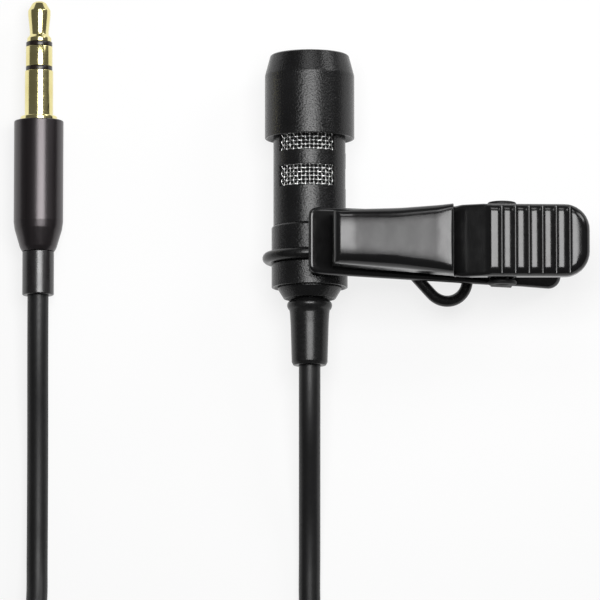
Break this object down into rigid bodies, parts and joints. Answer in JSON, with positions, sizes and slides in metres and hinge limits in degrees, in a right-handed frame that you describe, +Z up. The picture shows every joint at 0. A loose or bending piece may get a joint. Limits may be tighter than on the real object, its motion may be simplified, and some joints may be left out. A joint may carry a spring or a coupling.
{
  "type": "lavalier microphone",
  "caption": "Small black clip-on lavalier microphone with a sprung lapel clip, a thin coiled cord and a 3.5 mm three-contact plug.",
  "frame": {"origin": "on the surface it lies on, under the middle of the microphone and clip, the cord and plug left out", "axes": "+Z up, +Y along the microphone's axis towards its capsule and along the plug towards its tip, +X along the clip towards its thumb pad"},
  "size_m": [0.0725, 0.1217, 0.0167],
  "materials": {
    "black_metal": "satin",
    "clip_enamel": "gloss",
    "steel_mesh": "woven wire",
    "black_wire": "satin",
    "boot_rubber": "satin",
    "cord_jacket": "satin",
    "capsule_metal": "satin",
    "felt": "matte",
    "board": "satin",
    "copper": "tinned and insulated wire",
    "crimp_steel": "satin",
    "gold_contact": "polished",
    "dark_insulator": "gloss",
    "plug_barrel": "satin"
  },
  "bodies": {
    "mic": {"body_tube": "black_metal", "grille_mesh": "steel_mesh", "collar": "black_metal", "rear_cap": "black_metal", "cable_boot": "boot_rubber", "capsule_can": "capsule_metal", "capsule_felt": "felt", "capsule_sleeve": "boot_rubber", "circuit_board": "board", "lead_wires": "copper", "cable_crimp": "crimp_steel", "mic_cable_end": "cord_jacket", "cord_mic_run": "cord_jacket", "cord_coil": "cord_jacket", "cord_plug_run": "cord_jacket", "plug_tip": "gold_contact", "plug_insulator_front": "dark_insulator", "plug_ring": "gold_contact", "plug_insulator_rear": "dark_insulator", "plug_sleeve": "gold_contact", "plug_leads": "copper", "plug_housing": "plug_barrel", "plug_neck": "plug_barrel", "plug_crimp": "crimp_steel", "plug_cable_end": "cord_jacket"},
    "cap": {"cap": "black_metal"},
    "clip_base": {"clip_base": "clip_enamel", "hinge_pin": "black_wire", "torsion_spring": "crimp_steel", "mic_ring": "black_wire", "cable_loop": "black_wire"},
    "clip_lever": {"clip_lever": "clip_enamel"}
  },
  "joints": [
    {"name": "cap_pull_off", "type": "slide", "parent": "mic", "child": "cap", "axis": [0, 1, 0], "range_m": [0, 0.009]},
    {"name": "clip_swivel", "type": "hinge", "parent": "mic", "child": "clip_base", "pos_m": [-0.01418, -0.00602, 0.0058], "axis": [0, 1, 0], "range_deg": [-150, 150]},
    {"name": "jaw_hinge", "type": "hinge", "parent": "clip_base", "child": "clip_lever", "pos_m": [0.00935, -0.00468, 0.0093], "axis": [0, 1, 0], "range_deg": [0, 28], "stiffness_Nm_per_rad": 0.1, "springref_deg": -34.38, "deforming": ["torsion_spring"]}
  ]
}
